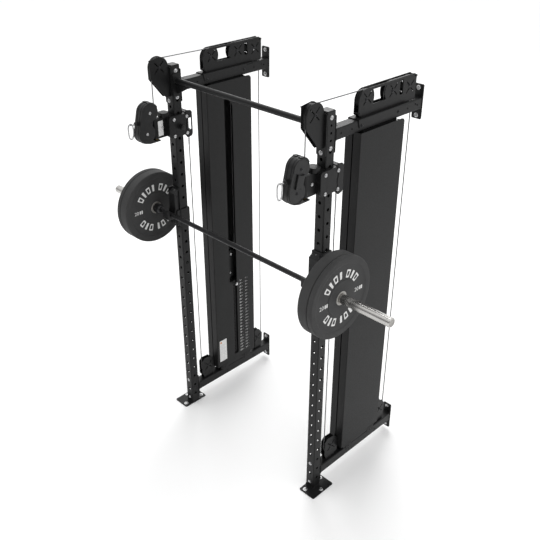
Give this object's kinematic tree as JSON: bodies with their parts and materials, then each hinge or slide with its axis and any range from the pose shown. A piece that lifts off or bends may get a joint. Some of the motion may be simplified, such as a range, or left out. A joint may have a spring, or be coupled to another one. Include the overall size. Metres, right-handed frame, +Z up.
{
  "type": "cable crossover machine",
  "caption": "Wall-mounted cable crossover rack with weight stacks, sliding trolleys with swivelling pulley heads, a pull-up bar and a loaded barbell on hooks.",
  "frame": {"origin": "middle of the machine's footprint on the floor", "axes": "+Z up, +X along the wall to the user's right when facing the machine, +Y towards the wall, the user stands at -Y"},
  "size_m": [2.2, 1.065, 2.436],
  "materials": {
    "powder_coat": "satin black powder coat",
    "sheet_coat": "satin black powder coat on folded sheet",
    "pulley_plastic": "moulded nylon",
    "cable_steel": "coated wire rope",
    "bright_steel": "bright plated",
    "black_oxide": "black oxide",
    "stack_iron": "black painted",
    "rubber": "matte moulded rubber"
  },
  "bodies": {
    "pulley_top_front_l": {"pulley_top_front_l": "pulley_plastic"},
    "pulley_bracket_front_l": {"pulley_bracket_front_l": "pulley_plastic"},
    "pulley_bracket_mid_l": {"pulley_bracket_mid_l": "pulley_plastic"},
    "pulley_bracket_rear_l": {"pulley_bracket_rear_l": "pulley_plastic"},
    "pulley_low_front_l": {"pulley_low_front_l": "pulley_plastic"},
    "pulley_low_rear_l": {"pulley_low_rear_l": "pulley_plastic"},
    "pulley_stack_l": {"pulley_stack_l": "pulley_plastic"},
    "pulley_head_upper_l": {"pulley_head_upper_l": "pulley_plastic"},
    "pulley_head_lower_l": {"pulley_head_lower_l": "pulley_plastic"},
    "selector_pin_l": {"selector_pin_l": "bright_steel"},
    "selector_l": {"selector_l": "stack_iron"},
    "trolley_l": {"trolley_l": "powder_coat"},
    "pop_pin_l": {"pop_pin_l": "black_oxide"},
    "swivel_head_l": {"swivel_head_l": "powder_coat"},
    "carabiner_l": {"carabiner_l": "bright_steel"},
    "thick_plate_l": {"thick_plate_l": "rubber"},
    "thin_plate_l": {"thin_plate_l": "rubber"},
    "pulley_top_front_r": {"pulley_top_front_r": "pulley_plastic"},
    "pulley_bracket_front_r": {"pulley_bracket_front_r": "pulley_plastic"},
    "pulley_bracket_mid_r": {"pulley_bracket_mid_r": "pulley_plastic"},
    "pulley_bracket_rear_r": {"pulley_bracket_rear_r": "pulley_plastic"},
    "pulley_low_front_r": {"pulley_low_front_r": "pulley_plastic"},
    "pulley_low_rear_r": {"pulley_low_rear_r": "pulley_plastic"},
    "pulley_stack_r": {"pulley_stack_r": "pulley_plastic"},
    "pulley_head_upper_r": {"pulley_head_upper_r": "pulley_plastic"},
    "pulley_head_lower_r": {"pulley_head_lower_r": "pulley_plastic"},
    "selector_pin_r": {"selector_pin_r": "bright_steel"},
    "selector_r": {"selector_r": "stack_iron"},
    "trolley_r": {"trolley_r": "powder_coat"},
    "pop_pin_r": {"pop_pin_r": "black_oxide"},
    "swivel_head_r": {"swivel_head_r": "powder_coat"},
    "carabiner_r": {"carabiner_r": "bright_steel"},
    "thick_plate_r": {"thick_plate_r": "rubber"},
    "thin_plate_r": {"thin_plate_r": "rubber"},
    "frame": {"pull_up_bar": "powder_coat", "upright_l": "powder_coat", "foot_plate_l": "powder_coat", "upper_beam_l": "powder_coat", "lower_beam_l": "powder_coat", "top_bracket_l": "powder_coat", "front_housing_l": "powder_coat", "shroud_inner_l": "sheet_coat", "shroud_outer_l": "sheet_coat", "guide_rods_l": "bright_steel", "weight_stack_l": "stack_iron", "j_cup_l": "powder_coat", "cable_l": "cable_steel", "upright_r": "powder_coat", "foot_plate_r": "powder_coat", "upper_beam_r": "powder_coat", "lower_beam_r": "powder_coat", "top_bracket_r": "powder_coat", "front_housing_r": "powder_coat", "shroud_inner_r": "sheet_coat", "shroud_outer_r": "sheet_coat", "guide_rods_r": "bright_steel", "weight_stack_r": "stack_iron", "j_cup_r": "powder_coat", "cable_r": "cable_steel"},
    "barbell": {"barbell": "black_oxide"}
  },
  "joints": [
    {"name": "trolley_slide_l", "type": "slide", "parent": "frame", "child": "trolley_l", "axis": [0, 0, 1], "range_m": [-0.225, 0], "deforming": ["cable_l"]},
    {"name": "head_swivel_l", "type": "hinge", "parent": "trolley_l", "child": "swivel_head_l", "pos_m": [-0.571, -0.3475, 2.041], "axis": [0, 0, 1], "range_deg": [-90, 90]},
    {"name": "pop_pin_pull_l", "type": "slide", "parent": "trolley_l", "child": "pop_pin_l", "axis": [1, 0, 0], "range_m": [0, 0.012], "stiffness_N_per_m": 400, "springref_m": -0.01},
    {"name": "stack_lift_l", "type": "slide", "parent": "frame", "child": "selector_l", "axis": [0, 0, 1], "range_m": [0, 0.4]},
    {"name": "selector_pin_pull_l", "type": "slide", "parent": "selector_l", "child": "selector_pin_l", "axis": [1, 0, 0], "range_m": [0, 0.06]},
    {"name": "handle_pull_l", "type": "slide", "parent": "swivel_head_l", "child": "carabiner_l", "axis": [0, -1, 0], "range_m": [0, 0.8]},
    {"name": "top_front_spin_l", "type": "hinge", "parent": "frame", "child": "pulley_top_front_l", "pos_m": [-0.571, -0.2995, 2.378], "axis": [1, 0, 0], "continuous": true},
    {"name": "bracket_front_spin_l", "type": "hinge", "parent": "frame", "child": "pulley_bracket_front_l", "pos_m": [-0.571, 0.0665, 2.37], "axis": [1, 0, 0], "continuous": true},
    {"name": "bracket_mid_spin_l", "type": "hinge", "parent": "frame", "child": "pulley_bracket_mid_l", "pos_m": [-0.571, 0.2745, 2.37], "axis": [1, 0, 0], "continuous": true},
    {"name": "bracket_rear_spin_l", "type": "hinge", "parent": "frame", "child": "pulley_bracket_rear_l", "pos_m": [-0.571, 0.4175, 2.37], "axis": [1, 0, 0], "continuous": true},
    {"name": "low_front_spin_l", "type": "hinge", "parent": "frame", "child": "pulley_low_front_l", "pos_m": [-0.571, -0.0625, 0.24], "axis": [1, 0, 0], "continuous": true},
    {"name": "low_rear_spin_l", "type": "hinge", "parent": "frame", "child": "pulley_low_rear_l", "pos_m": [-0.571, 0.4175, 0.24], "axis": [1, 0, 0], "continuous": true},
    {"name": "stack_spin_l", "type": "hinge", "parent": "selector_l", "child": "pulley_stack_l", "pos_m": [-0.571, 0.1765, 1.04], "axis": [1, 0, 0], "continuous": true},
    {"name": "head_upper_spin_l", "type": "hinge", "parent": "swivel_head_l", "child": "pulley_head_upper_l", "pos_m": [-0.571, -0.3955, 2.147], "axis": [1, 0, 0], "continuous": true},
    {"name": "head_lower_spin_l", "type": "hinge", "parent": "swivel_head_l", "child": "pulley_head_lower_l", "pos_m": [-0.571, -0.423, 2.033], "axis": [1, 0, 0], "continuous": true},
    {"name": "thick_plate_slide_l", "type": "slide", "parent": "barbell", "child": "thick_plate_l", "axis": [-1, 0, 0], "range_m": [0, 0.15]},
    {"name": "thin_plate_slide_l", "type": "slide", "parent": "thick_plate_l", "child": "thin_plate_l", "axis": [-1, 0, 0], "range_m": [0, 0.12]},
    {"name": "trolley_slide_r", "type": "slide", "parent": "frame", "child": "trolley_r", "axis": [0, 0, 1], "range_m": [-0.225, 0], "deforming": ["cable_r"]},
    {"name": "head_swivel_r", "type": "hinge", "parent": "trolley_r", "child": "swivel_head_r", "pos_m": [0.571, -0.3475, 2.041], "axis": [0, 0, 1], "range_deg": [-90, 90]},
    {"name": "pop_pin_pull_r", "type": "slide", "parent": "trolley_r", "child": "pop_pin_r", "axis": [-1, 0, 0], "range_m": [0, 0.012], "stiffness_N_per_m": 400, "springref_m": -0.01},
    {"name": "stack_lift_r", "type": "slide", "parent": "frame", "child": "selector_r", "axis": [0, 0, 1], "range_m": [0, 0.4]},
    {"name": "selector_pin_pull_r", "type": "slide", "parent": "selector_r", "child": "selector_pin_r", "axis": [-1, 0, 0], "range_m": [0, 0.06]},
    {"name": "handle_pull_r", "type": "slide", "parent": "swivel_head_r", "child": "carabiner_r", "axis": [0, -1, 0], "range_m": [0, 0.8]},
    {"name": "top_front_spin_r", "type": "hinge", "parent": "frame", "child": "pulley_top_front_r", "pos_m": [0.571, -0.2995, 2.378], "axis": [1, 0, 0], "continuous": true},
    {"name": "bracket_front_spin_r", "type": "hinge", "parent": "frame", "child": "pulley_bracket_front_r", "pos_m": [0.571, 0.0665, 2.37], "axis": [1, 0, 0], "continuous": true},
    {"name": "bracket_mid_spin_r", "type": "hinge", "parent": "frame", "child": "pulley_bracket_mid_r", "pos_m": [0.571, 0.2745, 2.37], "axis": [1, 0, 0], "continuous": true},
    {"name": "bracket_rear_spin_r", "type": "hinge", "parent": "frame", "child": "pulley_bracket_rear_r", "pos_m": [0.571, 0.4175, 2.37], "axis": [1, 0, 0], "continuous": true},
    {"name": "low_front_spin_r", "type": "hinge", "parent": "frame", "child": "pulley_low_front_r", "pos_m": [0.571, -0.0625, 0.24], "axis": [1, 0, 0], "continuous": true},
    {"name": "low_rear_spin_r", "type": "hinge", "parent": "frame", "child": "pulley_low_rear_r", "pos_m": [0.571, 0.4175, 0.24], "axis": [1, 0, 0], "continuous": true},
    {"name": "stack_spin_r", "type": "hinge", "parent": "selector_r", "child": "pulley_stack_r", "pos_m": [0.571, 0.1765, 1.04], "axis": [1, 0, 0], "continuous": true},
    {"name": "head_upper_spin_r", "type": "hinge", "parent": "swivel_head_r", "child": "pulley_head_upper_r", "pos_m": [0.571, -0.3955, 2.147], "axis": [1, 0, 0], "continuous": true},
    {"name": "head_lower_spin_r", "type": "hinge", "parent": "swivel_head_r", "child": "pulley_head_lower_r", "pos_m": [0.571, -0.423, 2.033], "axis": [1, 0, 0], "continuous": true},
    {"name": "thick_plate_slide_r", "type": "slide", "parent": "barbell", "child": "thick_plate_r", "axis": [1, 0, 0], "range_m": [0, 0.15]},
    {"name": "thin_plate_slide_r", "type": "slide", "parent": "thick_plate_r", "child": "thin_plate_r", "axis": [1, 0, 0], "range_m": [0, 0.12]},
    {"name": "barbell_lift", "type": "slide", "parent": "frame", "child": "barbell", "axis": [0, 0, 1], "range_m": [0, 0.06]}
  ],
  "couplings": [
    {"joint": "handle_pull_l", "follows": "stack_lift_l", "ratio": 2},
    {"joint": "top_front_spin_l", "follows": "stack_lift_l", "rad_per_m": 41.667},
    {"joint": "bracket_front_spin_l", "follows": "stack_lift_l", "rad_per_m": 41.667},
    {"joint": "bracket_mid_spin_l", "follows": "trolley_slide_l", "rad_per_m": -20.833},
    {"joint": "bracket_rear_spin_l", "follows": "trolley_slide_l", "rad_per_m": -20.833},
    {"joint": "low_front_spin_l", "follows": "trolley_slide_l", "rad_per_m": -20.833},
    {"joint": "low_rear_spin_l", "follows": "trolley_slide_l", "rad_per_m": -20.833},
    {"joint": "stack_spin_l", "follows": "stack_lift_l", "rad_per_m": -20},
    {"joint": "head_upper_spin_l", "follows": "stack_lift_l", "rad_per_m": -41.667},
    {"joint": "handle_pull_r", "follows": "stack_lift_r", "ratio": 2},
    {"joint": "top_front_spin_r", "follows": "stack_lift_r", "rad_per_m": 41.667},
    {"joint": "bracket_front_spin_r", "follows": "stack_lift_r", "rad_per_m": 41.667},
    {"joint": "bracket_mid_spin_r", "follows": "trolley_slide_r", "rad_per_m": -20.833},
    {"joint": "bracket_rear_spin_r", "follows": "trolley_slide_r", "rad_per_m": -20.833},
    {"joint": "low_front_spin_r", "follows": "trolley_slide_r", "rad_per_m": -20.833},
    {"joint": "low_rear_spin_r", "follows": "trolley_slide_r", "rad_per_m": -20.833},
    {"joint": "stack_spin_r", "follows": "stack_lift_r", "rad_per_m": -20},
    {"joint": "head_upper_spin_r", "follows": "stack_lift_r", "rad_per_m": -41.667}
  ]
}
